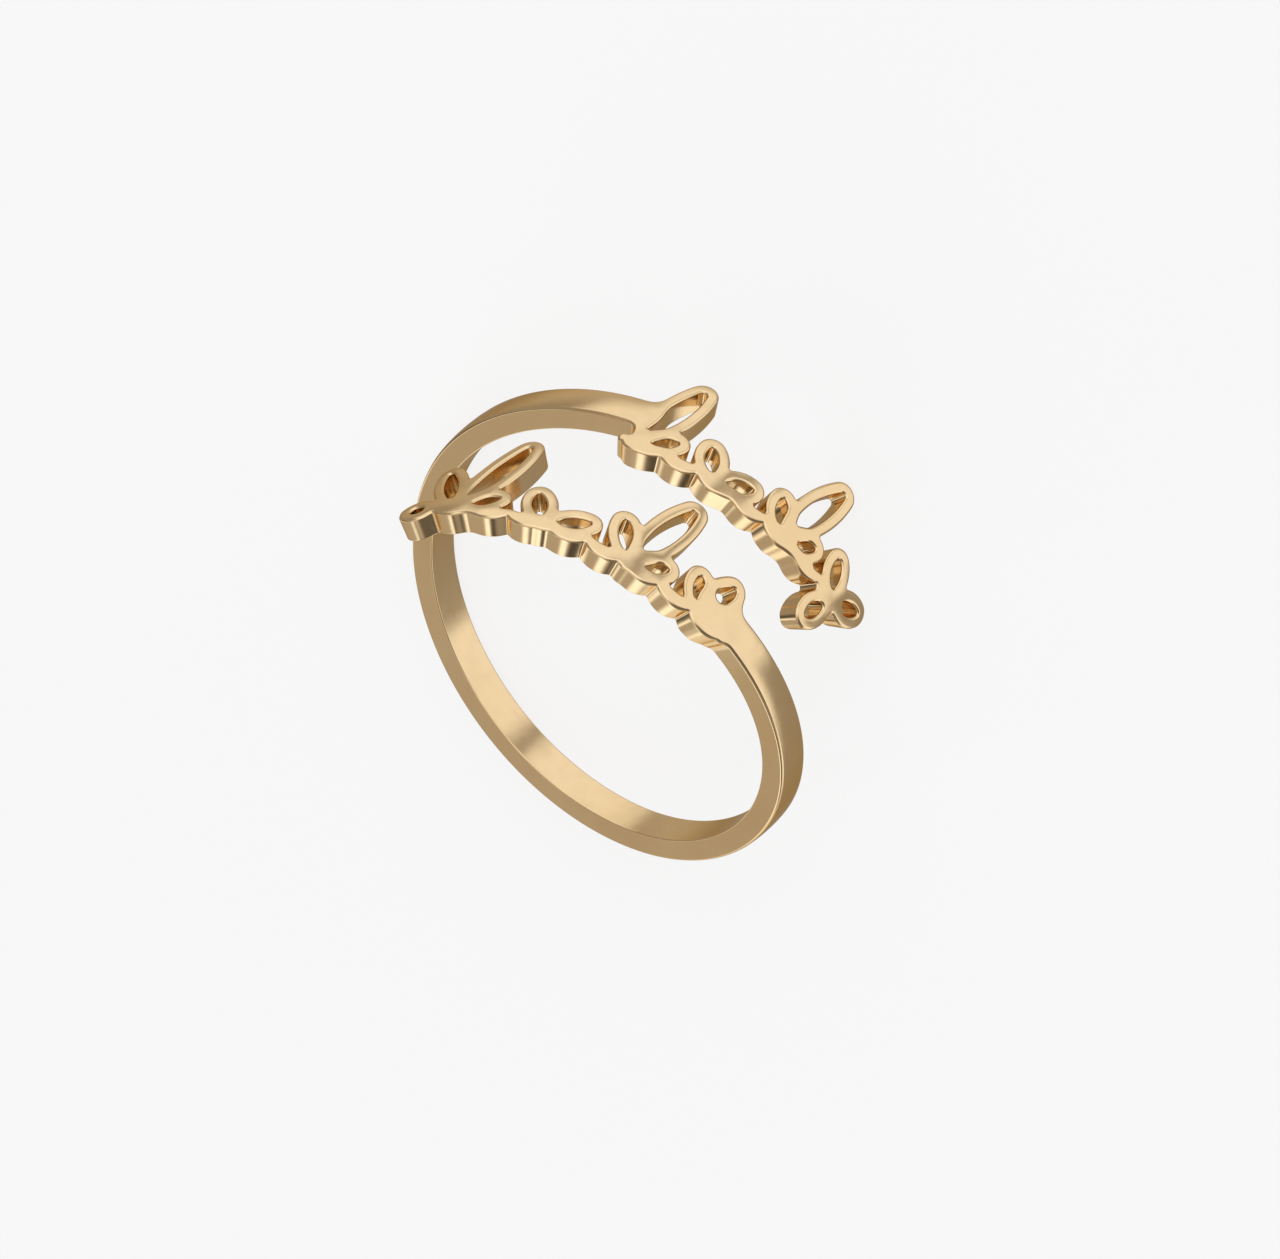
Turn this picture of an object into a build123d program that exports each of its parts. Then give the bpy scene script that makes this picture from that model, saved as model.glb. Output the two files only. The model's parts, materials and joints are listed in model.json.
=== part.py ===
from build123d import *
import os
from collections import namedtuple
from itertools import combinations
from math import acos, atan, atan2, ceil, cos, degrees, hypot, inf, radians, sin, sqrt, tan

# A bypass ring cut from one strip of gold and bent round a finger.
# Its flat band ends in two openwork panels of leaves that lie side by side.
# Lengths are in millimetres and angles in degrees. While it is made, the finger's axis is Z.
# An angle counts anticlockwise round it, seen from the near side, and a height is along it.

# Driving sizes of the band
FINGER_DIAMETER = 17.3
SHEET_THICKNESS = 1.0
BAND_WIDTH = 1.5
BAND_END_BULGE = 0.4

# Driving sizes of the openwork
STROKE_WIDTH = 0.46
STEM_WIDTH = 0.46
STEM_CREST_DEPTH = 0.14
SCALLOP_PITCH = 1.6
SCALLOP_DEPTH = 0.32
BUD_RADIUS = 0.36
TALL_LEAF_LENGTH = 4.7
TALL_LEAF_OPENING = 0.80
SIDE_LEAF_LENGTH = 2.8
SIDE_LEAF_OPENING = 0.54
LEAF_TIP_SHARE = 0.4
LEAF_LEAN = 18.0
LEAF_SPREAD = 42.0

# Where each panel's line starts, and how steeply it falls
FRONT_ANGLE = 129.5
FRONT_HEIGHT = 7.7
FRONT_SLOPE = 14.5
REAR_ANGLE = 97.0
REAR_HEIGHT = 0.25
REAR_SLOPE = 11.5

# The band's middle line: a share of its turn, and how much of its fall it has made there
RoutePoint = namedtuple("RoutePoint", "turn fall")
BAND_ROUTE = [
    RoutePoint(-0.09, -0.22),
    RoutePoint(0.025, 0.10),
    RoutePoint(0.195, 0.415),
    RoutePoint(0.365, 0.575),
    RoutePoint(0.54, 0.708),
    RoutePoint(0.71, 0.80),
    RoutePoint(0.88, 0.862),
    RoutePoint(1.0, 1.0),
    RoutePoint(1.08, 1.12),
]

# A sprig stands at the middle of a scallop, counted from the panel's left end.
# Its leaves are shares of the named leaf lengths, and 0 leaves a leaf out.
Sprig = namedtuple("Sprig", "scallop tall left right")
FRONT_SCALLOPS = range(1, 9)
FRONT_SPRIGS = [
    Sprig(1.1, 1.03, 1.15, 0.68),
    Sprig(3.4, 0, 0.68, 0.70),
    Sprig(5.65, 0.92, 0.78, 0.64),
    Sprig(7.8, 0.53, 0.66, 0),
]
REAR_SCALLOPS = range(0, 7)
REAR_SPRIGS = [
    Sprig(-0.2, 0.92, 0, 0.66),
    Sprig(1.95, 0, 0.64, 0.64),
    Sprig(4.05, 0.87, 0.64, 0.64),
    Sprig(6.15, 0, 0.64, 0.64),
]

# One more leaf hangs below the line at the free end of each panel
EndLeaf = namedtuple("EndLeaf", "scallops heading length")
FRONT_END_LEAF = EndLeaf(0.95, 172.0, 0.38)
REAR_END_LEAF = EndLeaf(6.6, 250.0, 0.60)

# Where the band runs into each panel, in scallops along and band widths up
FRONT_ENTRY = (8.65, 0.48)
REAR_ENTRY = (0.20, 1.23)

# Working values
INNER_RADIUS = FINGER_DIAMETER / 2
OUTER_RADIUS = INNER_RADIUS + SHEET_THICKNESS
HALF_STROKE = STROKE_WIDTH / 2
Line = namedtuple("Line", "angle height slope")
FRONT_LINE = Line(FRONT_ANGLE, FRONT_HEIGHT, FRONT_SLOPE)
REAR_LINE = Line(REAR_ANGLE - 360, REAR_HEIGHT, REAR_SLOPE)
CUTTER_CLEARANCE = 0.5
FAR_DISTANCE = OUTER_RADIUS + CUTTER_CLEARANCE
NEAR_SHARE = 0.4
LONGEST_EDGE = 2.5
LARGEST_SWEEP = 50.0
BAND_STEPS = 6
BAND_WINDOWS = 3
FRONT_STUB = 12.5
REAR_STUB = 27.0
SUPPORT_SECTOR = 8.0
SUPPORT_ROUNDS = 2
EDGE_SHARES = (0, 0.25, 0.5, 0.75)
TOUCH = 0.001
STRAIGHT_RISE = 0.0003


def arc_point(start, end, rise, share):
    """Point at a share of the way along the arc from start to end, which rises by rise to its left."""
    along_x, along_y = end[0] - start[0], end[1] - start[1]
    chord = hypot(along_x, along_y)
    if abs(rise) < STRAIGHT_RISE:
        return start[0] + along_x * share, start[1] + along_y * share
    along_x, along_y = along_x / chord, along_y / chord
    left_x, left_y = -along_y, along_x
    radius = (chord ** 2 / 4 + rise ** 2) / (2 * rise)
    turn = 2 * atan(2 * rise / chord) * (1 - 2 * share)
    middle_x, middle_y = (start[0] + end[0]) / 2, (start[1] + end[1]) / 2
    centre_x, centre_y = middle_x + left_x * (rise - radius), middle_y + left_y * (rise - radius)
    x = centre_x + radius * (left_x * cos(turn) - along_x * sin(turn))
    y = centre_y + radius * (left_y * cos(turn) - along_y * sin(turn))
    return x, y


def bent_edge(start, middle, end):
    """Arc through three points, or a line where they are all but in line."""
    cross = (middle[0] - start[0]) * (end[1] - start[1]) - (middle[1] - start[1]) * (end[0] - start[0])
    if abs(cross) < STRAIGHT_RISE * hypot(end[0] - start[0], end[1] - start[1]):
        return Edge.make_line(start, end)
    return Edge.make_three_point_arc(start, middle, end)


def bulged_edge(start, end, rise):
    """Edge from start to end that rises by rise to its left."""
    return bent_edge(start, arc_point(start, end, rise, 0.5), end)


def closed_wire(corners, place):
    """Closed outline through the corners, each (x, y, rise of the arc to the next corner)."""
    edges = []
    for index, (x, y, rise) in enumerate(corners):
        start, end = (x, y), corners[(index + 1) % len(corners)][:2]
        chord = hypot(end[0] - x, end[1] - y)
        sweep = abs(degrees(4 * atan(2 * rise / chord)))
        count = max(1, ceil(sweep / LARGEST_SWEEP), ceil(chord / LONGEST_EDGE))
        for step in range(count):
            points = [place(arc_point(start, end, rise, (step + part) / count)) for part in (0, 0.5, 1)]
            edges.append(bent_edge(*points))
    return Wire(edges)


def panel_spot(line, along, up):
    """Angle and height of a spot drawn on the sloping line of a panel."""
    slope = radians(line.slope)
    across = along * cos(slope) - up * sin(slope)
    drop = along * sin(slope) + up * cos(slope)
    return line.angle - degrees(across / OUTER_RADIUS), line.height - drop


def flat_place(centre_angle):
    """Place an angle and height on the flat plane that faces the centre angle."""
    return lambda spot: (FAR_DISTANCE * tan(radians(spot[0] - centre_angle)), spot[1])


def panel_place(line, centre_angle):
    """Place a spot (along, up) of a panel on the same flat plane."""
    flatten = flat_place(centre_angle)
    return lambda spot: flatten(panel_spot(line, *spot))


def turned(corners, base, heading):
    """Corners turned from the x direction to the heading and moved to the base."""
    c, s = cos(radians(heading)), sin(radians(heading))
    return [(base[0] + x * c - y * s, base[1] + x * s + y * c, rise) for x, y, rise in corners]


def bow(radius, start, end):
    """How far an arc of a radius rises between two points."""
    chord = hypot(end[0] - start[0], end[1] - start[1])
    return radius - sqrt(radius ** 2 - chord ** 2 / 4)


def mirrored(point):
    """The point on the other side of a leaf's middle line."""
    return point[0], -point[1]


def leaf(base, heading, length, opening, place):
    """Open leaf with two bent sides, which meet at its foot, and a round tip."""
    belly = opening / 2 + HALF_STROKE
    tip = LEAF_TIP_SHARE * opening / 2 + HALF_STROKE
    reach = length - tip
    # A side's centre stands below the widest place and its arc runs from the foot into the tip's arc
    start, rate = (reach ** 2 - tip ** 2) / (2 * reach), tip / reach
    slack = belly - start * rate
    radius = (start ** 2 + belly ** 2) / (slack + sqrt(slack ** 2 - rate ** 2 * (start ** 2 + belly ** 2)))
    widest = start + rate * radius
    depth = radius - belly
    foot_x, foot_y = -widest / radius, depth / radius
    tip_x, tip_y = (reach - widest) / (radius - tip), depth / (radius - tip)

    foot_end = (HALF_STROKE * foot_x, HALF_STROKE * foot_y)
    tip_end = (reach + (tip + HALF_STROKE) * tip_x, (tip + HALF_STROKE) * tip_y)
    side_rise = bow(radius + HALF_STROKE, foot_end, tip_end)
    outside = [
        (*mirrored(foot_end), HALF_STROKE * (1 + foot_x)),
        (*foot_end, side_rise),
        (*tip_end, (tip + HALF_STROKE) * (1 - tip_x)),
        (*mirrored(tip_end), side_rise),
    ]
    hole_foot = (widest - sqrt((radius - HALF_STROKE) ** 2 - depth ** 2), 0)
    hole_tip = (reach + (tip - HALF_STROKE) * tip_x, (tip - HALF_STROKE) * tip_y)
    hole_rise = bow(radius - HALF_STROKE, hole_foot, hole_tip)
    inside = [
        (*hole_foot, hole_rise),
        (*hole_tip, (tip - HALF_STROKE) * (1 - tip_x)),
        (*mirrored(hole_tip), hole_rise),
    ]
    outside_wire = closed_wire(turned(outside, base, heading), place)
    inside_wire = closed_wire(turned(inside, base, heading), place)
    return Face(outside_wire, [inside_wire])


def bud(centre, place):
    """Round bud that covers the feet of the leaves."""
    left, right = (centre[0] - BUD_RADIUS, centre[1]), (centre[0] + BUD_RADIUS, centre[1])
    return Face(closed_wire([(*left, BUD_RADIUS), (*right, BUD_RADIUS)], place))


def sprig(row, place):
    """A tall leaf, a leaf on each side of it, and a bud at their feet."""
    along = SCALLOP_PITCH * (row.scallop + 0.5)
    foot = STEM_WIDTH / 4
    faces = [bud((along, foot), place)]
    if row.tall:
        tall = row.tall * TALL_LEAF_LENGTH
        faces.append(leaf((along, foot), 90 - LEAF_LEAN, tall, TALL_LEAF_OPENING, place))
    for share, side in ((row.left, -1), (row.right, 1)):
        if share:
            base = (along + side * BUD_RADIUS / 3, foot + HALF_STROKE / 5)
            heading = 90 - LEAF_LEAN - side * LEAF_SPREAD
            faces.append(leaf(base, heading, share * SIDE_LEAF_LENGTH, SIDE_LEAF_OPENING, place))
    return faces


def stem(scallops, place):
    """Strip along a panel's near edge, scalloped on both sides."""
    near = [(SCALLOP_PITCH * (index + 1), 0, SCALLOP_DEPTH) for index in reversed(scallops)]
    far = [(SCALLOP_PITCH * index, STEM_WIDTH, -STEM_CREST_DEPTH) for index in scallops]
    start, end = far[0][0], near[0][0]
    corners = near + [(start, 0, STEM_WIDTH / 2)] + far + [(end, STEM_WIDTH, STEM_WIDTH / 2)]
    return Face(closed_wire(corners, place))


def panel(scallops, sprigs, end_leaf, place):
    """All the faces of one openwork panel."""
    faces = [stem(scallops, place)]
    for row in sprigs:
        faces += sprig(row, place)
    foot = (SCALLOP_PITCH * end_leaf.scallops, 0)
    length = SIDE_LEAF_LENGTH * end_leaf.length
    faces.append(leaf(foot, end_leaf.heading, length, SIDE_LEAF_OPENING, place))
    return faces


def band_ends():
    """Angle and height of the middle line at the band's two ends, a whole turn counted in the second."""
    start = panel_spot(FRONT_LINE, FRONT_ENTRY[0] * SCALLOP_PITCH, FRONT_ENTRY[1] * BAND_WIDTH)
    end = panel_spot(REAR_LINE, REAR_ENTRY[0] * SCALLOP_PITCH, REAR_ENTRY[1] * BAND_WIDTH)
    return start, end


def smooth_fall(turn):
    """Share of the band's fall at a share of its turn, a smooth curve through the route."""
    rows = BAND_ROUTE
    index = max(1, min(len(rows) - 3, sum(row.turn <= turn for row in rows) - 1))
    before, start, end, after = rows[index - 1:index + 3]
    span = end.turn - start.turn
    share = (turn - start.turn) / span
    start_rate = (end.fall - before.fall) / (end.turn - before.turn) * span
    end_rate = (after.fall - start.fall) / (after.turn - start.turn) * span
    square, cubic = share ** 2, share ** 3
    return (
        start.fall * (2 * cubic - 3 * square + 1)
        + start_rate * (cubic - 2 * square + share)
        + end.fall * (3 * square - 2 * cubic)
        + end_rate * (cubic - square)
    )


def band_height(angle):
    """Height of the band's middle line at an angle."""
    (start_angle, start_height), (end_angle, end_height) = band_ends()
    turn = (start_angle - angle) / (start_angle - end_angle)
    return start_height + (end_height - start_height) * smooth_fall(turn)


def band_face(start_angle, end_angle, place, start_bulge=0, end_bulge=0):
    """Stretch of the band between two angles, with straight ends or ends that bulge."""
    ends = []
    edges = []
    for side in (-BAND_WIDTH / 2, BAND_WIDTH / 2):
        line = []
        for step in range(2 * BAND_STEPS + 1):
            angle = start_angle + (end_angle - start_angle) * step / (2 * BAND_STEPS)
            line.append(place((angle, band_height(angle) + side)))
        edges += [bent_edge(*line[step:step + 3]) for step in range(0, 2 * BAND_STEPS, 2)]
        ends.append((line[0], line[-1]))
    near, far = ends
    edges.append(bulged_edge(near[0], far[0], start_bulge))
    edges.append(bulged_edge(near[1], far[1], -end_bulge))
    return Face(Wire(edges))


def facing_plane(distance, angle):
    """Plane across a radius of the ring, with x round the ring and y along the finger."""
    outward = Vector(cos(radians(angle)), sin(radians(angle)), 0)
    return Plane(origin=outward * distance, x_dir=outward.rotate(Axis.Z, 90), z_dir=outward)


def radial_prism(wire, angle):
    """Solid whose walls run through an outline towards the finger's axis."""
    narrow = Matrix([[NEAR_SHARE, 0, 0, 0], [0, 1, 0, 0], [0, 0, 1, 0], [0, 0, 0, 1]])
    far = facing_plane(FAR_DISTANCE, angle).location * wire
    near = facing_plane(FAR_DISTANCE * NEAR_SHARE, angle).location * wire.transform_geometry(narrow)
    return Solid.make_loft([far, near], ruled=True)


def bent_sheet(faces, angle):
    """The faces, drawn on the flat plane at an angle, cut from the bent sheet."""
    outline = (Sketch() + faces).faces().sort_by(SortBy.AREA)[-1]
    tall = 4 * FINGER_DIAMETER
    sheet = Cylinder(OUTER_RADIUS, tall) - Cylinder(INNER_RADIUS, tall)
    piece = sheet & radial_prism(outline.outer_wire(), angle)
    holes = [radial_prism(wire, angle) for wire in outline.inner_wires()]
    return piece - holes if holes else piece


def front_stretch(band_start, join):
    """The front panel with the start of the band."""
    angle = (FRONT_ANGLE + join) / 2
    place = panel_place(FRONT_LINE, angle)
    faces = panel(FRONT_SCALLOPS, FRONT_SPRIGS, FRONT_END_LEAF, place)
    faces.append(band_face(band_start, join, flat_place(angle), start_bulge=-BAND_END_BULGE))
    return bent_sheet(faces, angle)


def rear_stretch(join, band_end):
    """The rear panel with the end of the band."""
    panel_end, _ = panel_spot(REAR_LINE, SCALLOP_PITCH * len(REAR_SCALLOPS), 0)
    angle = (join + panel_end) / 2
    place = panel_place(REAR_LINE, angle)
    faces = panel(REAR_SCALLOPS, REAR_SPRIGS, REAR_END_LEAF, place)
    faces.append(band_face(join, band_end, flat_place(angle), end_bulge=-BAND_END_BULGE))
    return bent_sheet(faces, angle)


def band_stretch(start_angle, end_angle):
    """A plain stretch of the band."""
    angle = (start_angle + end_angle) / 2
    return bent_sheet([band_face(start_angle, end_angle, flat_place(angle))], angle)


def ring():
    """The whole ring, one solid, with the finger's axis along Z."""
    (band_start, _), (band_end, _) = band_ends()
    first, last = band_start - FRONT_STUB, band_end + REAR_STUB
    joins = [first + (last - first) * step / BAND_WINDOWS for step in range(BAND_WINDOWS + 1)]
    whole = front_stretch(band_start, first) + rear_stretch(last, band_end)
    for start_angle, end_angle in zip(joins, joins[1:]):
        whole += band_stretch(start_angle, end_angle)
    return whole.solid()


def support_points(whole, upward):
    """Lowest points of the ring's inner and outer edges in each sector round its axis."""
    lowest = {}
    for edge in whole.edges():
        for share in EDGE_SHARES:
            point = edge.position_at(share)
            outer = hypot(point.X, point.Y) > (INNER_RADIUS + OUTER_RADIUS) / 2
            place = (degrees(atan2(point.Y, point.X)) // SUPPORT_SECTOR, outer)
            if place not in lowest or point.dot(upward) < lowest[place].dot(upward):
                lowest[place] = point
    return list(lowest.values())


def resting_direction(points, balance):
    """Upward direction of the ring where it lies still on three points with its balance point lowest."""
    rests = [(inf, Vector(0, 0, 1))]
    for first, second, third in combinations(points, 3):
        upward = (second - first).cross(third - first).normalized()
        if upward.Z < 0:
            upward, second, third = -upward, third, second
        if any((point - first).dot(upward) < -TOUCH for point in points):
            continue
        sides = [(first, second), (second, third), (third, first)]
        if all((end - start).cross(balance - start).dot(upward) > 0 for start, end in sides):
            rests.append(((balance - first).dot(upward), upward))
    return min(rests, key=lambda rest: rest[0])[1]


def lying_down(whole):
    """The ring as it lies on a table, with its panels towards -Y and its box centred over the origin."""
    balance = whole.center(CenterOf.MASS)
    upright = Vector(0, 0, 1)
    for _ in range(SUPPORT_ROUNDS):
        upright = resting_direction(support_points(whole, upright), balance)
    turned_ring = whole.rotate(Axis.Z, 180)
    upward = upright.rotate(Axis.Z, 180)
    tilt_axis = Axis((0, 0, 0), upward.cross(Vector(0, 0, 1)))
    tilt = degrees(acos(upward.Z))
    lying = turned_ring.rotate(tilt_axis, tilt)
    box = lying.bounding_box()
    shift = Vector(-(box.min.X + box.max.X) / 2, -(box.min.Y + box.max.Y) / 2, -box.min.Z)
    finger_axis = Vector(0, 0, 1).rotate(tilt_axis, tilt)
    print("finger axis", finger_axis, "through", shift, "tilt", tilt)
    print("wall from", whole.bounding_box().min.Z, "to", whole.bounding_box().max.Z, "along the axis")
    return lying.translate(shift)


lying_ring = lying_down(ring())
os.makedirs("parts", exist_ok=True)
export_step(lying_ring, "parts/ring.step")
print("volume", lying_ring.volume, "faces", len(lying_ring.faces()), lying_ring.bounding_box())
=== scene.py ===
import json
import math
import bpy
import numpy as np
from mathutils import Matrix, Vector
from mathutils.geometry import delaunay_2d_cdt


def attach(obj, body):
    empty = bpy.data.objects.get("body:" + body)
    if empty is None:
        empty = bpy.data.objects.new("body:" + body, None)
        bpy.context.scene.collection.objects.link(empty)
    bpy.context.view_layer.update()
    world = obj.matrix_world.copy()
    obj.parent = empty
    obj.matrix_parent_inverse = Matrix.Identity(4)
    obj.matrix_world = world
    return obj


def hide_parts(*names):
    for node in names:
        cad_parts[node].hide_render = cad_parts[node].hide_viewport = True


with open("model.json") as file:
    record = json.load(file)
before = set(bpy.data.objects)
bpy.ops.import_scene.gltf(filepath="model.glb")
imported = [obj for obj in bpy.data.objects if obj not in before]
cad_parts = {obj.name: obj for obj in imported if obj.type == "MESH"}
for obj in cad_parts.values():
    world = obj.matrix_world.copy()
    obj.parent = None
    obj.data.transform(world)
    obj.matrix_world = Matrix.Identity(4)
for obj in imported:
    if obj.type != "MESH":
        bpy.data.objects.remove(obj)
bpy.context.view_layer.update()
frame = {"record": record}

# Sizes in millimetres and angles in degrees, as in the CAD source.
# The ring's own frame has the finger's axis as Z. Unrolled, "along" runs clockwise round it.
MILLIMETRE = 0.001
FULL_TURN = 360
UPRIGHT = 90

FINGER_DIAMETER = 17.3
SHEET_THICKNESS = 1.0
BAND_WIDTH = 1.5
BAND_END_BULGE = 0.4
STROKE_WIDTH = 0.46
STEM_WIDTH = 0.46
STEM_CREST_DEPTH = 0.14
SCALLOP_PITCH = 1.6
SCALLOP_DEPTH = 0.32
BUD_RADIUS = 0.36
TALL_LEAF_LENGTH = 4.7
TALL_LEAF_OPENING = 0.80
SIDE_LEAF_LENGTH = 2.8
SIDE_LEAF_OPENING = 0.54
TIP_SHARE = 0.4
LEAF_LEAN = 18.0
LEAF_SPREAD = 42.0
FRONT_ANGLE = 129.5
FRONT_HEIGHT = 7.7
FRONT_SLOPE = 14.5
REAR_ANGLE = 97.0
REAR_HEIGHT = 0.25
REAR_SLOPE = 11.5
# The band's middle line: share of its turn, share of its fall
BAND_ROUTE = (
    (-0.09, -0.22), (0.025, 0.10), (0.195, 0.415), (0.365, 0.575), (0.54, 0.708),
    (0.71, 0.80), (0.88, 0.862), (1.0, 1.0), (1.08, 1.12),
)
# Each sprig: its place in scallops, then its tall, left and right leaf as shares of the leaf lengths
FRONT_SPRIGS = (
    (1.1, 1.03, 1.15, 0.68), (3.4, 0, 0.68, 0.70), (5.65, 0.92, 0.78, 0.64), (7.8, 0.53, 0.66, 0),
)
REAR_SPRIGS = (
    (-0.2, 0.92, 0, 0.66), (1.95, 0, 0.64, 0.64), (4.05, 0.87, 0.64, 0.64), (6.15, 0, 0.64, 0.64),
)
# The first scallop of each panel, and the one after its last
FRONT_SCALLOPS = (1, 9)
REAR_SCALLOPS = (0, 7)
# The leaf at each panel's free end: scallops along, heading, share of the side leaf's length
FRONT_END_LEAF = (0.95, 172.0, 0.38)
REAR_END_LEAF = (6.6, 250.0, 0.6)
# Where the band runs into each panel: scallops along, band widths up
FRONT_ENTRY = (8.65, 0.48)
REAR_ENTRY = (0.20, 1.23)

INNER_RADIUS = FINGER_DIAMETER / 2
OUTER_RADIUS = INNER_RADIUS + SHEET_THICKNESS
HALF_STROKE = STROKE_WIDTH / 2
LEAF_FOOT = STEM_WIDTH / 4         # height in the stem at which leaves start
SIDE_LEAF_SHIFT = BUD_RADIUS / 3   # side leaves start this far aside of the sprig's middle
SIDE_LEAF_RISE = HALF_STROKE / 5
# Each panel's line: the angle and height where it starts, and its slope
FRONT_LINE = (FRONT_ANGLE, FRONT_HEIGHT, FRONT_SLOPE)
REAR_LINE = (REAR_ANGLE - FULL_TURN, REAR_HEIGHT, REAR_SLOPE)

# Sizes of the worked metal that only the eye needs
FILLET = 0.16              # blend where two strokes meet
BAND_FILLET = 0.5          # blend where the band meets a panel
BAND_END_ROUNDING = 0.4    # rounding of the corners at the band's ends
SCALLOP_FILLET = 0.06      # blend between two scallops of the stem's lower side
CREST_ROUNDING = 0.12      # rounding between two scallops of its upper side
OUTER_EDGE = (0.12, 0.10)  # width and height of the rounded outer edge
INNER_EDGE = (0.06, 0.05)
OUTER_TURNS = (90, 70, 50, 32, 15, 0)  # turns round these edges that get a row of vertices
INNER_TURNS = (0, 30, 60, 90)
WALL_SHARES = (0.33, 0.67)  # rows on the wall between them
PILLOW_BLUR = 0.28
PILLOW_DEPTH = 0.11

# Spacing and limits of the mesh
GRID = 0.08
GRID_MARGINS = (2, 3)      # grid before the front panel's start and after the rear panel's end
GRID_HEIGHTS = (-8, 10)
POINT_SPACING = 0.07
FEWEST_POINTS = 12
SMALLEST_HOLE = 0.01
CAP_SPACING = 0.28
CAP_CLEARANCE = 0.45 * CAP_SPACING
MERGE_DISTANCE = 1e-7
SLOPE_STEP = 1e-3
ROUTE_STEP = 0.01
SNAP_ROUNDS = 3
EVEN_ROUNDS = 2
LEAST_SLOPE = 0.25         # smallest squared slope that a snap divides by
KERNEL_REACH = 3           # reach of the pillow's blur, in spreads
POINTS_AT_ONCE = 1000


# The pattern as a signed distance in the unrolled sheet, negative in the metal

def join(first, second, blend=FILLET):
    """Union of two distances with a small fillet."""
    near = np.clip(blend - np.abs(first - second), 0, None)
    return np.minimum(first, second) - near * near / (4 * blend)


def cut(first, second, blend=FILLET):
    """Intersection of two distances with a small rounding."""
    return -join(-first, -second, blend)


def leaf_curves(length, opening):
    """Radius and centre of a leaf's side, then radius and centre of its round tip."""
    belly, tip = opening / 2 + HALF_STROKE, TIP_SHARE * opening / 2 + HALF_STROKE
    reach = length - tip
    start, rate = (reach ** 2 - tip ** 2) / (2 * reach), tip / reach
    open_by = belly - start * rate
    square = start ** 2 + belly ** 2
    side = square / (open_by + math.sqrt(open_by ** 2 - rate ** 2 * square))
    middle = start + rate * side
    return side, (middle, math.sqrt(side ** 2 - middle ** 2)), tip, reach


def leaf(x, y, base, heading, length, opening):
    """Distance to an open leaf, with two bent sides and a round tip."""
    turn = math.radians(heading)
    x, y = x - base[0], y - base[1]
    x, y = x * math.cos(turn) + y * math.sin(turn), y * math.cos(turn) - x * math.sin(turn)
    side, (middle, depth), tip, reach = leaf_curves(length, opening)
    base_angle, tip_angle = math.atan2(-middle, depth), math.atan2(reach - middle, depth)
    end = reach + tip * math.sin(tip_angle), tip * math.cos(tip_angle)
    sides = []
    for up in (y, -y):
        angle = np.arctan2(x - middle, up + depth)
        on_side = np.abs(np.hypot(x - middle, up + depth) - side)
        off_side = np.minimum(np.hypot(x, up), np.hypot(x - end[0], up - end[1]))
        sides.append(np.where((angle > base_angle) & (angle < tip_angle), on_side, off_side))
    on_tip = np.abs(np.hypot(x - reach, y) - tip)
    on_tip = np.where(np.arctan2(x - reach, np.abs(y)) > tip_angle, on_tip, sides[0])
    return np.minimum(join(*sides), on_tip) - HALF_STROKE


def stem(x, y, first, last):
    """Distance to the strip along a panel's edge, scalloped on both sides."""
    half = SCALLOP_PITCH / 2
    low_radius = (half ** 2 + SCALLOP_DEPTH ** 2) / (2 * SCALLOP_DEPTH)
    high_radius = (half ** 2 + STEM_CREST_DEPTH ** 2) / (2 * STEM_CREST_DEPTH)
    low_centre = low_radius - SCALLOP_DEPTH
    high_centre = STEM_WIDTH - STEM_CREST_DEPTH + high_radius
    low = high = None
    for index in range(first, last):
        middle = SCALLOP_PITCH * index + half
        below = np.hypot(x - middle, y - low_centre) - low_radius
        above = high_radius - np.hypot(x - middle, y - high_centre)
        low = below if low is None else join(low, below, SCALLOP_FILLET)
        high = above if high is None else cut(high, above, CREST_ROUNDING)
    start, end = SCALLOP_PITCH * first, SCALLOP_PITCH * last
    body = np.maximum(np.maximum(low, high), np.maximum(start - x, x - end))
    for place in (start, end):
        body = np.minimum(body, np.hypot(x - place, y - STEM_WIDTH / 2) - STEM_WIDTH / 2)
    return body


def panel(along, height, line, scallops, sprigs, end_leaf):
    """Distance to one openwork panel."""
    start_angle, start_height, slope = line
    slope = math.radians(slope)
    across, drop = along + OUTER_RADIUS * math.radians(start_angle), start_height - height
    x = across * math.cos(slope) + drop * math.sin(slope)
    y = drop * math.cos(slope) - across * math.sin(slope)

    def tall_leaf(place, share):
        base, length = (place, LEAF_FOOT), share * TALL_LEAF_LENGTH
        return leaf(x, y, base, UPRIGHT - LEAF_LEAN, length, TALL_LEAF_OPENING)

    def side_leaf(base, heading, share):
        return leaf(x, y, base, heading, share * SIDE_LEAF_LENGTH, SIDE_LEAF_OPENING)

    metal = stem(x, y, *scallops)
    for scallop, tall, left, right in sprigs:
        middle = SCALLOP_PITCH * (scallop + 0.5)
        metal = join(metal, np.hypot(x - middle, y - LEAF_FOOT) - BUD_RADIUS)
        if tall:
            metal = join(metal, tall_leaf(middle, tall))
        for share, side in ((left, -1), (right, 1)):
            if share:
                base = (middle + side * SIDE_LEAF_SHIFT, LEAF_FOOT + SIDE_LEAF_RISE)
                heading = UPRIGHT - LEAF_LEAN - side * LEAF_SPREAD
                metal = join(metal, side_leaf(base, heading, share))
    place, heading, share = end_leaf
    return join(metal, side_leaf((SCALLOP_PITCH * place, 0), heading, share))


def panel_spot(line, entry):
    """Angle and height of the spot where the band runs into a panel."""
    start_angle, start_height, slope = line
    slope = math.radians(slope)
    along, up = entry[0] * SCALLOP_PITCH, entry[1] * BAND_WIDTH
    across = along * math.cos(slope) - up * math.sin(slope)
    drop = along * math.sin(slope) + up * math.cos(slope)
    return start_angle - math.degrees(across / OUTER_RADIUS), start_height - drop


BAND_START = panel_spot(FRONT_LINE, FRONT_ENTRY)
BAND_END = panel_spot(REAR_LINE, REAR_ENTRY)


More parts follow.
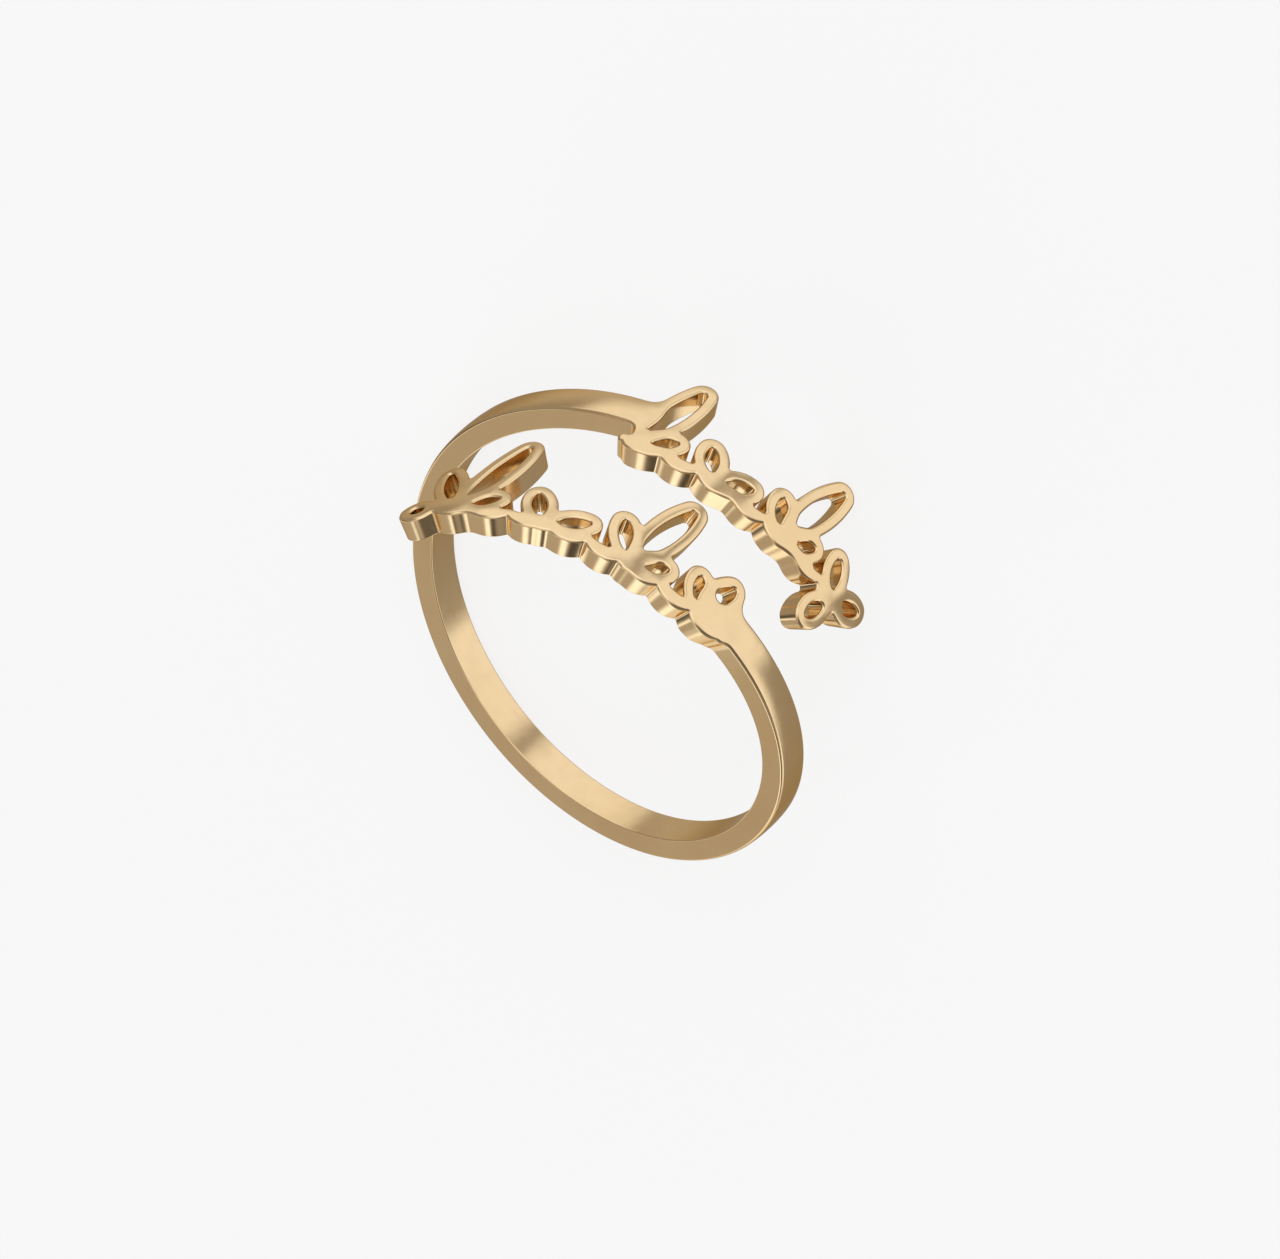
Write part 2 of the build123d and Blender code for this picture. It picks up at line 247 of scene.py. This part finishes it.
def band_height(along):
    """Height of the band's middle line, a smooth curve through the points of its route."""
    angle = -np.degrees(along / OUTER_RADIUS)
    turn = (BAND_START[0] - angle) / (BAND_START[0] - BAND_END[0])
    turns, falls = np.array(BAND_ROUTE).T
    index = np.clip(np.searchsorted(turns, turn, side="right") - 1, 1, len(turns) - 3)
    span = turns[index + 1] - turns[index]
    share = (turn - turns[index]) / span
    start_rate = (falls[index + 1] - falls[index - 1]) / (turns[index + 1] - turns[index - 1]) * span
    end_rate = (falls[index + 2] - falls[index]) / (turns[index + 2] - turns[index]) * span
    square, cubic = share ** 2, share ** 3
    fall = (
        falls[index] * (2 * cubic - 3 * square + 1)
        + start_rate * (cubic - 2 * square + share)
        + falls[index + 1] * (3 * square - 2 * cubic)
        + end_rate * (cubic - square)
    )
    return BAND_START[1] + (BAND_END[1] - BAND_START[1]) * fall


def band(along, height):
    """Distance to the band, whose two ends bulge into the panels."""
    start, end = (-OUTER_RADIUS * math.radians(spot[0]) for spot in (BAND_START, BAND_END))
    inside = np.clip(along, start - BAND_END_BULGE, end + BAND_END_BULGE)
    slope = (band_height(inside + ROUTE_STEP) - band_height(inside - ROUTE_STEP)) / (2 * ROUTE_STEP)
    strip = (np.abs(height - band_height(inside)) - BAND_WIDTH / 2) / np.hypot(1, slope)
    radius = ((BAND_WIDTH / 2) ** 2 + BAND_END_BULGE ** 2) / (2 * BAND_END_BULGE)
    metal = np.maximum(start - along, along - end)
    for place, side, spot in ((start, 1, BAND_START), (end, -1, BAND_END)):
        centre = place + side * (radius - BAND_END_BULGE)
        metal = np.minimum(metal, np.hypot(along - centre, height - spot[1]) - radius)
    return cut(strip, metal, BAND_END_ROUNDING)


def sheet(along, height):
    """Distance to the whole unrolled ring."""
    front = panel(along, height, FRONT_LINE, FRONT_SCALLOPS, FRONT_SPRIGS, FRONT_END_LEAF)
    rear = panel(along, height, REAR_LINE, REAR_SCALLOPS, REAR_SPRIGS, REAR_END_LEAF)
    return join(join(front, rear), band(along, height), BAND_FILLET)


def slope_of(points):
    """Gradient of the distance at points."""
    x, y = points.T
    return np.stack((
        (sheet(x + SLOPE_STEP, y) - sheet(x - SLOPE_STEP, y)) / (2 * SLOPE_STEP),
        (sheet(x, y + SLOPE_STEP) - sheet(x, y - SLOPE_STEP)) / (2 * SLOPE_STEP),
    ), axis=1)


# Outlines of the sheet

def grid_loops(field, xs, ys):
    """Closed outlines of a sampled field's zero line, with the metal on the left."""
    inside = field < 0
    corners_in = inside[:-1, :-1].astype(int) + inside[1:, :-1] + inside[1:, 1:] + inside[:-1, 1:]
    follows, place = {}, {}
    for i, j in zip(*np.nonzero((corners_in > 0) & (corners_in < 4))):
        corners = [(i, j), (i + 1, j), (i + 1, j + 1), (i, j + 1)]
        keys = [(i, j, 0), (i + 1, j, 1), (i, j + 1, 0), (i, j, 1)]
        leaving, entering = [], []
        for side in range(4):
            a, b = corners[side], corners[(side + 1) % 4]
            if inside[a] != inside[b]:
                share = field[a] / (field[a] - field[b])
                place[keys[side]] = (
                    xs[a[0]] + (xs[b[0]] - xs[a[0]]) * share,
                    ys[a[1]] + (ys[b[1]] - ys[a[1]]) * share,
                )
                (leaving if inside[a] else entering).append(side)
        for side in leaving:
            after = min(entering, key=lambda other: (other - side) % 4)
            follows[keys[side]] = keys[after]
    loops = []
    while follows:
        key = next(iter(follows))
        loop = []
        while key in follows:
            loop.append(place[key])
            key = follows.pop(key)
        loops.append(np.array(loop))
    return loops


def snapped(points):
    """Points moved onto the exact outline."""
    for _ in range(SNAP_ROUNDS):
        slope = slope_of(points)
        share = sheet(*points.T) / (slope ** 2).sum(1).clip(LEAST_SLOPE)
        points = points - share[:, None] * slope
    return points


def even_loop(loop):
    """The loop as evenly spaced points on the exact outline."""
    for _ in range(EVEN_ROUNDS):
        loop = snapped(loop)
        closed = np.vstack((loop, loop[:1]))
        lengths = np.hypot(*np.diff(closed, axis=0).T)
        travelled = np.concatenate(([0], np.cumsum(lengths)))
        count = max(FEWEST_POINTS, round(travelled[-1] / POINT_SPACING))
        stops = np.arange(count) * travelled[-1] / count
        loop = np.stack([np.interp(stops, travelled, closed[:, side]) for side in (0, 1)], axis=1)
    return snapped(loop)


def loop_area(loop):
    """Area inside a loop, negative for a hole."""
    x, y = loop.T
    return 0.5 * float(np.sum(x * np.roll(y, -1) - y * np.roll(x, -1)))


first_along = -OUTER_RADIUS * math.radians(FRONT_ANGLE) - GRID_MARGINS[0]
rear_start = OUTER_RADIUS * math.radians(FULL_TURN - REAR_ANGLE)
last_along = rear_start + SCALLOP_PITCH * REAR_SCALLOPS[1] + GRID_MARGINS[1]
xs = np.arange(first_along, last_along, GRID)
ys = np.arange(*GRID_HEIGHTS, GRID)
field = sheet(*np.meshgrid(xs, ys, indexing="ij"))
loops = [even_loop(loop) for loop in grid_loops(field, xs, ys)]
loops = [loop for loop in loops if abs(loop_area(loop)) > SMALLEST_HOLE]

# A soft pillow on the outer face: lower near the edges, and lower on thin strokes
kernel_reach = math.ceil(KERNEL_REACH * PILLOW_BLUR / GRID)
kernel_places = np.arange(-kernel_reach, kernel_reach + 1) * GRID
kernel = np.exp(-0.5 * (kernel_places / PILLOW_BLUR) ** 2)
kernel /= kernel.sum()
pillow = np.clip(0.5 - field / GRID, 0, 1)
for axis in (0, 1):
    pillow = np.apply_along_axis(lambda row: np.convolve(row, kernel, mode="same"), axis, pillow)
pillow = PILLOW_DEPTH * (1 - pillow)
pillow_slope = np.gradient(pillow, GRID)


def sampled(grid, points):
    """Value of a grid at points, by straight interpolation."""
    x = (points[:, 0] - xs[0]) / GRID
    y = (points[:, 1] - ys[0]) / GRID
    i, j = x.astype(int), y.astype(int)
    x, y = x - i, y - j
    return (
        grid[i, j] * (1 - x) * (1 - y) + grid[i + 1, j] * x * (1 - y)
        + grid[i, j + 1] * (1 - x) * y + grid[i + 1, j + 1] * x * y
    )


def pillow_gradient(points):
    """Slope of the pillow at points."""
    return np.stack([sampled(grid, points) for grid in pillow_slope], axis=1)


# The mesh

vertices, normals, flat_places, faces = [], [], [], []


def to_ring(points, depth):
    """Points of the unrolled sheet, at a depth below its outer face, on the round ring."""
    angle = -points[:, 0] / OUTER_RADIUS
    radius = OUTER_RADIUS - depth
    return np.stack((radius * np.cos(angle), radius * np.sin(angle), points[:, 1]), axis=1)


def ring_direction(points, flat, outward):
    """Unit directions on the round ring from ones in the sheet and ones out of it."""
    angle = -points[:, 0] / OUTER_RADIUS
    out = np.stack((np.cos(angle), np.sin(angle), np.zeros(len(points))), axis=1)
    round_it = np.stack((np.sin(angle), -np.cos(angle), np.zeros(len(points))), axis=1)
    direction = out * outward + round_it * flat[:, :1]
    direction[:, 2] += flat[:, 1]
    return direction / np.linalg.norm(direction, axis=1)[:, None]


def add_vertices(points, depth, normal):
    """Adds vertices to the mesh and gives their numbers."""
    first = sum(len(group) for group in vertices)
    vertices.append(to_ring(points, depth))
    normals.append(normal)
    flat_places.append(points)
    return np.arange(first, first + len(points))


def edge_rows():
    """Rows from the outer face round the edge to the inner face.

    Each has its inset, its depth, and how far its normal points in the sheet and out of it.
    """
    rows = []
    width, height = OUTER_EDGE
    for turn in np.radians(OUTER_TURNS):
        rows.append((
            width * (1 - math.cos(turn)), height * (1 - math.sin(turn)),
            math.cos(turn) / width, math.sin(turn) / height,
        ))
    low = SHEET_THICKNESS - INNER_EDGE[1]
    for share in WALL_SHARES:
        rows.append((0, height + (low - height) * share, 1, 0))
    width, height = INNER_EDGE
    for turn in np.radians(INNER_TURNS):
        rows.append((
            width * (1 - math.cos(turn)), low + height * math.sin(turn),
            math.cos(turn) / width, -math.sin(turn) / height,
        ))
    return rows


def add_wall(loop):
    """Adds the wall along one outline. Gives its first and last row, as points and numbers."""
    outward = slope_of(loop)
    outward /= np.hypot(*outward.T)[:, None]
    rows = []
    for number, (inset, depth, flat_share, out_share) in enumerate(edge_rows()):
        points = loop - outward * inset
        flat = outward * flat_share
        if number < len(OUTER_TURNS):
            depth = depth + sampled(pillow, points)
            flat = flat + pillow_gradient(points) * out_share
        rows.append((points, add_vertices(points, depth, ring_direction(points, flat, out_share))))
    for (_, upper), (_, lower) in zip(rows, rows[1:]):
        next_upper, next_lower = np.roll(upper, -1), np.roll(lower, -1)
        faces.append(np.stack((upper, next_lower, lower), axis=1))
        faces.append(np.stack((upper, next_upper, next_lower), axis=1))
    return rows[0], rows[-1]


def face_shape(points, outer):
    """Depth and unit normal of the outer or inner face at points."""
    if outer:
        return sampled(pillow, points), ring_direction(points, pillow_gradient(points), 1)
    flat = np.zeros((len(points), 2))
    return np.full(len(points), SHEET_THICKNESS), -ring_direction(points, flat, 1)


def triangle_grid():
    """Points of an even triangular grid over the whole sheet."""
    rows = []
    for number, height in enumerate(np.arange(ys[0], ys[-1], CAP_SPACING * math.sqrt(3) / 2)):
        row = np.arange(xs[0] + CAP_SPACING / 2 * (number % 2), xs[-1] - GRID, CAP_SPACING)
        rows.append(np.stack((row, np.full_like(row, height)), axis=1))
    return np.vstack(rows)


def within(points, outlines):
    """Which points the outlines enclose, holes left out."""
    starts = np.vstack(outlines)
    ends = np.vstack([np.roll(outline, -1, axis=0) for outline in outlines])
    odd = np.zeros(len(points), bool)
    for first in range(0, len(points), POINTS_AT_ONCE):
        part = slice(first, first + POINTS_AT_ONCE)
        x, y = (value[:, None] for value in points[part].T)
        spans = (starts[:, 1] > y) != (ends[:, 1] > y)
        rise = np.where(starts[:, 1] == ends[:, 1], 1, ends[:, 1] - starts[:, 1])
        crossing = starts[:, 0] + (y - starts[:, 1]) / rise * (ends[:, 0] - starts[:, 0])
        odd[part] = (spans & (x < crossing)).sum(1) % 2 == 1
    return odd


def add_cap(rows, inset, outer):
    """Adds the outer or the inner face of the sheet, between rows of the walls."""
    outlines, outline_ids = zip(*rows)
    inner = triangle_grid()
    inner = inner[sheet(*inner.T) < -inset - CAP_CLEARANCE]
    inner_ids = add_vertices(inner, *face_shape(inner, outer))
    points = np.vstack((*outlines, inner))
    ids = np.concatenate((*outline_ids, inner_ids))
    sides, start = [], 0
    for outline in outlines:
        count = len(outline)
        sides += [(start + k, start + (k + 1) % count) for k in range(count)]
        start += count
    corners, _, triangles, sources, _, _ = delaunay_2d_cdt(
        [Vector(point) for point in points.tolist()], sides, [], 0, MERGE_DISTANCE)
    corners = np.array([tuple(corner) for corner in corners])
    triangles = np.array(triangles)
    triangles = triangles[within(corners[triangles].mean(1), outlines)]
    # A corner without a source is a new one, where two sides cross
    corner_ids = np.array([ids[source[0]] if source else -1 for source in sources])
    cap_faces = corner_ids[triangles]
    if (cap_faces < 0).any():
        raise ValueError("the outline crosses itself")
    a, b, c = (corners[triangles[:, k]] for k in range(3))
    turn = (b - a)[:, 0] * (c - a)[:, 1] - (b - a)[:, 1] * (c - a)[:, 0]
    # Seen from outside, along runs to the left, so a triangle that turns left in the flat sheet faces inwards
    flip = (turn > 0) == outer
    cap_faces[flip] = cap_faces[flip][:, ::-1]
    faces.append(cap_faces)


outer_rows, inner_rows = zip(*[add_wall(loop) for loop in loops])
add_cap(outer_rows, OUTER_EDGE[0], True)
add_cap(inner_rows, INNER_EDGE[0], False)

finger = next(mount for mount in frame["record"]["mounts"] if mount["name"] == "finger")
finger_axis = Vector(finger["axis"]).normalized()
to_table = (
    Matrix.Translation(finger["pos_m"])
    @ Vector((0, 0, 1)).rotation_difference(finger_axis).to_matrix().to_4x4()
    @ Matrix.Rotation(math.pi, 4, "Z")
)
turning = np.array(to_table.to_3x3())
coordinates = np.vstack(vertices) * MILLIMETRE @ turning.T + np.array(to_table.translation)
directions = np.vstack(normals) @ turning.T
unrolled_places = np.vstack(flat_places) * MILLIMETRE
triangles = np.vstack(faces)

mesh = bpy.data.meshes.new("gold_ring")
mesh.from_pydata(coordinates.tolist(), [], triangles.tolist())
mesh.polygons.foreach_set("use_smooth", np.ones(len(triangles), bool))
mesh.normals_split_custom_set_from_vertices(directions.tolist())
mesh.uv_layers.new(name="unrolled").data.foreach_set("uv", unrolled_places[triangles.ravel()].ravel())
mesh.validate()
ring = bpy.data.objects.new("gold_ring", mesh)
bpy.context.scene.collection.objects.link(ring)

# Material. Each noise has its features per millimetre and its detail.
LIGHT_ALLOY = (0.855, 0.63, 0.355, 1)
DEEP_ALLOY = (0.83, 0.59, 0.315, 1)
HANDLED_GOLD = (0.78, 0.565, 0.31, 1)
GRAZING_GOLD = (0.92, 0.72, 0.46, 1)
CLOUDS = (0.22, 3)
MOTTLE = (1.4, 4)
WAVES = (0.75, 2)
BRUSHING = (16, 3, (0.02, 1, 1))  # stretched along the band
GRAIN = (24, 2)
# What a noise is turned into: its range, and what that becomes
ALLOY_SHARE = (0.36, 0.64, 0, 1)
HANDLED_SHARE = (0.45, 0.75, 0, 0.55)
MOTTLE_ROUGHNESS = (0.3, 0.75, 0.10, 0.17)
BRUSHING_ROUGHNESS = (0.3, 0.8, 0, 0.06)
# Bumps: height in metres, strength
WAVE_BUMP = (2e-5, 0.5)
GRAIN_BUMP = (2.5e-7, 0.5)

gold = bpy.data.materials.new("polished_gold")
gold.use_nodes = True
nodes, links = gold.node_tree.nodes, gold.node_tree.links
shader = nodes["Principled BSDF"]
shader.inputs["Metallic"].default_value = 1
shader.inputs["Specular Tint"].default_value = GRAZING_GOLD


def gold_noise(vector, scale, detail, stretch=(1, 1, 1)):
    """Noise with its scale in features per millimetre."""
    mapping = nodes.new("ShaderNodeMapping")
    mapping.inputs["Scale"].default_value = [scale / MILLIMETRE * share for share in stretch]
    links.new(vector, mapping.inputs["Vector"])
    noise = nodes.new("ShaderNodeTexNoise")
    noise.inputs["Scale"].default_value = 1
    noise.inputs["Detail"].default_value = detail
    links.new(mapping.outputs[0], noise.inputs["Vector"])
    return noise.outputs["Fac"]


def gold_range(value, *limits):
    """A value turned from one range into another."""
    node = nodes.new("ShaderNodeMapRange")
    links.new(value, node.inputs["Value"])
    for name, limit in zip(("From Min", "From Max", "To Min", "To Max"), limits):
        node.inputs[name].default_value = limit
    return node.outputs[0]


def gold_sum(first, second):
    """Two values added."""
    node = nodes.new("ShaderNodeMath")
    node.operation = "ADD"
    links.new(first, node.inputs[0])
    links.new(second, node.inputs[1])
    return node.outputs[0]


def gold_bump(height, distance, strength, before=None):
    """Normal of a bump, on top of another bump if one is given."""
    node = nodes.new("ShaderNodeBump")
    node.inputs["Distance"].default_value = distance
    node.inputs["Strength"].default_value = strength
    links.new(height, node.inputs["Height"])
    if before:
        links.new(before, node.inputs["Normal"])
    return node.outputs[0]


place = nodes.new("ShaderNodeTexCoord").outputs["Object"]
unrolled = nodes.new("ShaderNodeUVMap")
unrolled.uv_map = "unrolled"
clouds = gold_noise(place, *CLOUDS)
mottle = gold_noise(place, *MOTTLE)
waves = gold_noise(place, *WAVES)
brushing = gold_noise(unrolled.outputs[0], *BRUSHING)
grain = gold_noise(place, *GRAIN)

alloy = nodes.new("ShaderNodeMix")
alloy.data_type = "RGBA"
links.new(gold_range(clouds, *ALLOY_SHARE), alloy.inputs["Factor"])
alloy.inputs["A"].default_value = LIGHT_ALLOY
alloy.inputs["B"].default_value = DEEP_ALLOY
handled = nodes.new("ShaderNodeMix")
handled.data_type = "RGBA"
links.new(gold_range(mottle, *HANDLED_SHARE), handled.inputs["Factor"])
links.new(alloy.outputs["Result"], handled.inputs["A"])
handled.inputs["B"].default_value = HANDLED_GOLD
links.new(handled.outputs["Result"], shader.inputs["Base Color"])

worn = gold_sum(gold_range(mottle, *MOTTLE_ROUGHNESS), gold_range(brushing, *BRUSHING_ROUGHNESS))
links.new(worn, shader.inputs["Roughness"])
wavy = gold_bump(waves, *WAVE_BUMP)
links.new(gold_bump(gold_sum(brushing, grain), *GRAIN_BUMP, wavy), shader.inputs["Normal"])
ring.data.materials.append(gold)

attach(ring, "root")
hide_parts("ring")

# Camera. The three directions are in the ring's own frame, the places in metres.
RIGHT = Vector((0.802, 0.137, -0.581))
UP = Vector((-0.491, 0.705, -0.512))
TOWARD = Vector((0.339, 0.696, 0.633))
CAMERA_DISTANCE = 0.4653
ASIDE, ABOVE = 1.07e-3, -0.08e-3
CLIP_START = 0.01
PIXELS_WIDE = 1280
FOCAL_PIXELS = 12120
SENSOR = 36

camera_data = bpy.data.cameras.new("camera")
camera_data.sensor_width = SENSOR
camera_data.lens = FOCAL_PIXELS / PIXELS_WIDE * SENSOR
camera_data.clip_start = CLIP_START
camera = bpy.data.objects.new("camera", camera_data)
bpy.context.scene.collection.objects.link(camera)
bpy.context.scene.camera = camera
rotation = to_table.to_3x3() @ Matrix((RIGHT, UP, TOWARD)).transposed()
camera.matrix_world = Matrix.Translation(
    to_table.translation + rotation @ Vector((ASIDE, ABOVE, CAMERA_DISTANCE))
) @ rotation.to_quaternion().to_matrix().to_4x4()

# Floor
FLOOR_HALF_SIZE = 0.6
PAPER_COLOUR = (0.22, 0.22, 0.22, 1)
PAPER_GLOW = 0.80

floor_mesh = bpy.data.meshes.new("floor")
floor_corners = [
    (x * FLOOR_HALF_SIZE, y * FLOOR_HALF_SIZE, 0) for x, y in ((-1, -1), (1, -1), (1, 1), (-1, 1))
]
floor_mesh.from_pydata(floor_corners, [], [(0, 1, 2, 3)])
floor = bpy.data.objects.new("floor", floor_mesh)
bpy.context.scene.collection.objects.link(floor)
# The metal reflects the studio below the table too, as on a glass stand
floor.visible_glossy = False
paper = bpy.data.materials.new("paper")
paper.use_nodes = True
paper_shader = paper.node_tree.nodes["Principled BSDF"]
paper_shader.inputs["Base Color"].default_value = PAPER_COLOUR
paper_shader.inputs["Roughness"].default_value = 1
paper_shader.inputs["Specular IOR Level"].default_value = 0
paper_shader.inputs["Emission Color"].default_value = (1, 1, 1, 1)
paper_shader.inputs["Emission Strength"].default_value = PAPER_GLOW
floor_mesh.materials.append(paper)

# Light: soft-edged lamps and cards round the ring, in a dim room with a light above.
# Azimuths are in degrees, heights are the sines of the angles above the horizon.
ROOM_LIGHT = 0.37
TOP_LIGHT = 0.7
TOP_FADE = (0.78, 0.95)
BACKDROP = (0.922, 0.922, 0.922, 1)
BOX_END = 0.1                 # soft edge at the bottom and top of a lamp or card
DIM_BELOW, BRIGHT_ABOVE, TINT_FADE = 0.9, 0.8, 0.5
DIM_TINT = (0.06, 0.12)       # share of green and blue that the dimmest cards lack
BRIGHT_TINT = (0.06, 0.16)    # share that the brightest lamps have more
# Lamps and cards: middle, half width, soft edge, lowest, highest, level
STUDIO = (
    (-70, 75, 25, -1.2, -0.68, 0.58),   # glow of the front lamps below the table
    (160, 38, 14, -0.40, 0.08, 1.15),   # left lamp
    (178, 24, 12, 0.08, 0.86, 0.15),    # dark card above it
    (-140, 28, 5, -0.68, 0.08, 1.05),   # two front lamps with a narrow gap
    (-70, 33, 6, -0.68, 0.08, 1.05),
    (-98, 40, 16, 0.08, 0.86, 1.2),     # high front lamp
    (23, 9, 7, -0.15, 0.86, 0.09),      # dark card beside the right lamp
    (42, 6, 5, -0.38, 0.86, 1.3),       # right lamp
    (65, 16, 6, -0.38, 0.86, 0.50),     # grey card between the right and the back lamp
    (95, 20, 10, -0.38, 0.05, 0.95),    # back wall
    (92, 11, 7, 0.08, 0.86, 1.45),      # back lamp
    (117, 10, 7, 0.08, 0.86, 0.09),     # dark card beside it
)

world = bpy.data.worlds.new("studio")
bpy.context.scene.world = world
world.use_nodes = True
sky, sky_links = world.node_tree.nodes, world.node_tree.links


def sky_math(operation, *values):
    """A calculation with numbers or with values of other nodes."""
    node = sky.new("ShaderNodeMath")
    node.operation = operation
    for socket, value in zip(node.inputs, values):
        if isinstance(value, (int, float)):
            socket.default_value = value
        else:
            sky_links.new(value, socket)
    return node.outputs[0]


def sky_fade(value, low, high):
    """0 below low, 1 above high, smooth between."""
    node = sky.new("ShaderNodeMapRange")
    node.interpolation_type = "SMOOTHSTEP"
    sky_links.new(value, node.inputs["Value"])
    node.inputs["From Min"].default_value = low
    node.inputs["From Max"].default_value = high
    return node.outputs[0]


def sky_colour(level):
    """Light of one brightness: bright lamps are a little cool, dim cards a little warm."""
    dim = min(1, max(0, (DIM_BELOW - level) / TINT_FADE))
    bright = min(1, max(0, (level - BRIGHT_ABOVE) / TINT_FADE))
    green, blue = (
        level * (1 - less * dim + more * bright) for less, more in zip(DIM_TINT, BRIGHT_TINT)
    )
    return level, green, blue, 1


def sky_mix(share, first, second):
    """Two colours mixed, each a plain colour or another node's."""
    node = sky.new("ShaderNodeMix")
    node.data_type = "RGBA"
    sky_links.new(share, node.inputs["Factor"])
    for socket, value in ((node.inputs["A"], first), (node.inputs["B"], second)):
        if isinstance(value, tuple):
            socket.default_value = value
        else:
            sky_links.new(value, socket)
    return node.outputs["Result"]


def soft_box(behind, middle, half_width, edge, lowest, highest, level):
    """A soft-edged lamp or card in front of what is behind it."""
    aside = sky_math("SUBTRACT", azimuth, math.radians(middle))
    aside = sky_math("ABSOLUTE", sky_math("WRAP", aside, math.pi, -math.pi))
    off_side = sky_fade(aside, math.radians(half_width - edge), math.radians(half_width + edge))
    above = sky_fade(height, lowest - BOX_END, lowest + BOX_END)
    past = sky_fade(height, highest - BOX_END, highest + BOX_END)
    share = sky_math("MULTIPLY", sky_math("SUBTRACT", 1, off_side), sky_math("SUBTRACT", above, past))
    return sky_mix(share, behind, sky_colour(level))


direction = sky.new("ShaderNodeSeparateXYZ")
sky_links.new(sky.new("ShaderNodeTexCoord").outputs["Generated"], direction.inputs[0])
azimuth = sky_math("ARCTAN2", direction.outputs["Y"], direction.outputs["X"])
height = direction.outputs["Z"]
studio = sky_mix(sky_fade(height, *TOP_FADE), sky_colour(ROOM_LIGHT), sky_colour(TOP_LIGHT))
for lamp_or_card in STUDIO:
    studio = soft_box(studio, *lamp_or_card)
# The camera itself sees a plain pale backdrop
path = sky.new("ShaderNodeLightPath")
seen = sky_mix(path.outputs["Is Camera Ray"], studio, BACKDROP)
sky_links.new(seen, sky["Background"].inputs["Color"])
sky["Background"].inputs["Strength"].default_value = 1
bpy.context.scene.view_settings.view_transform = "Standard"
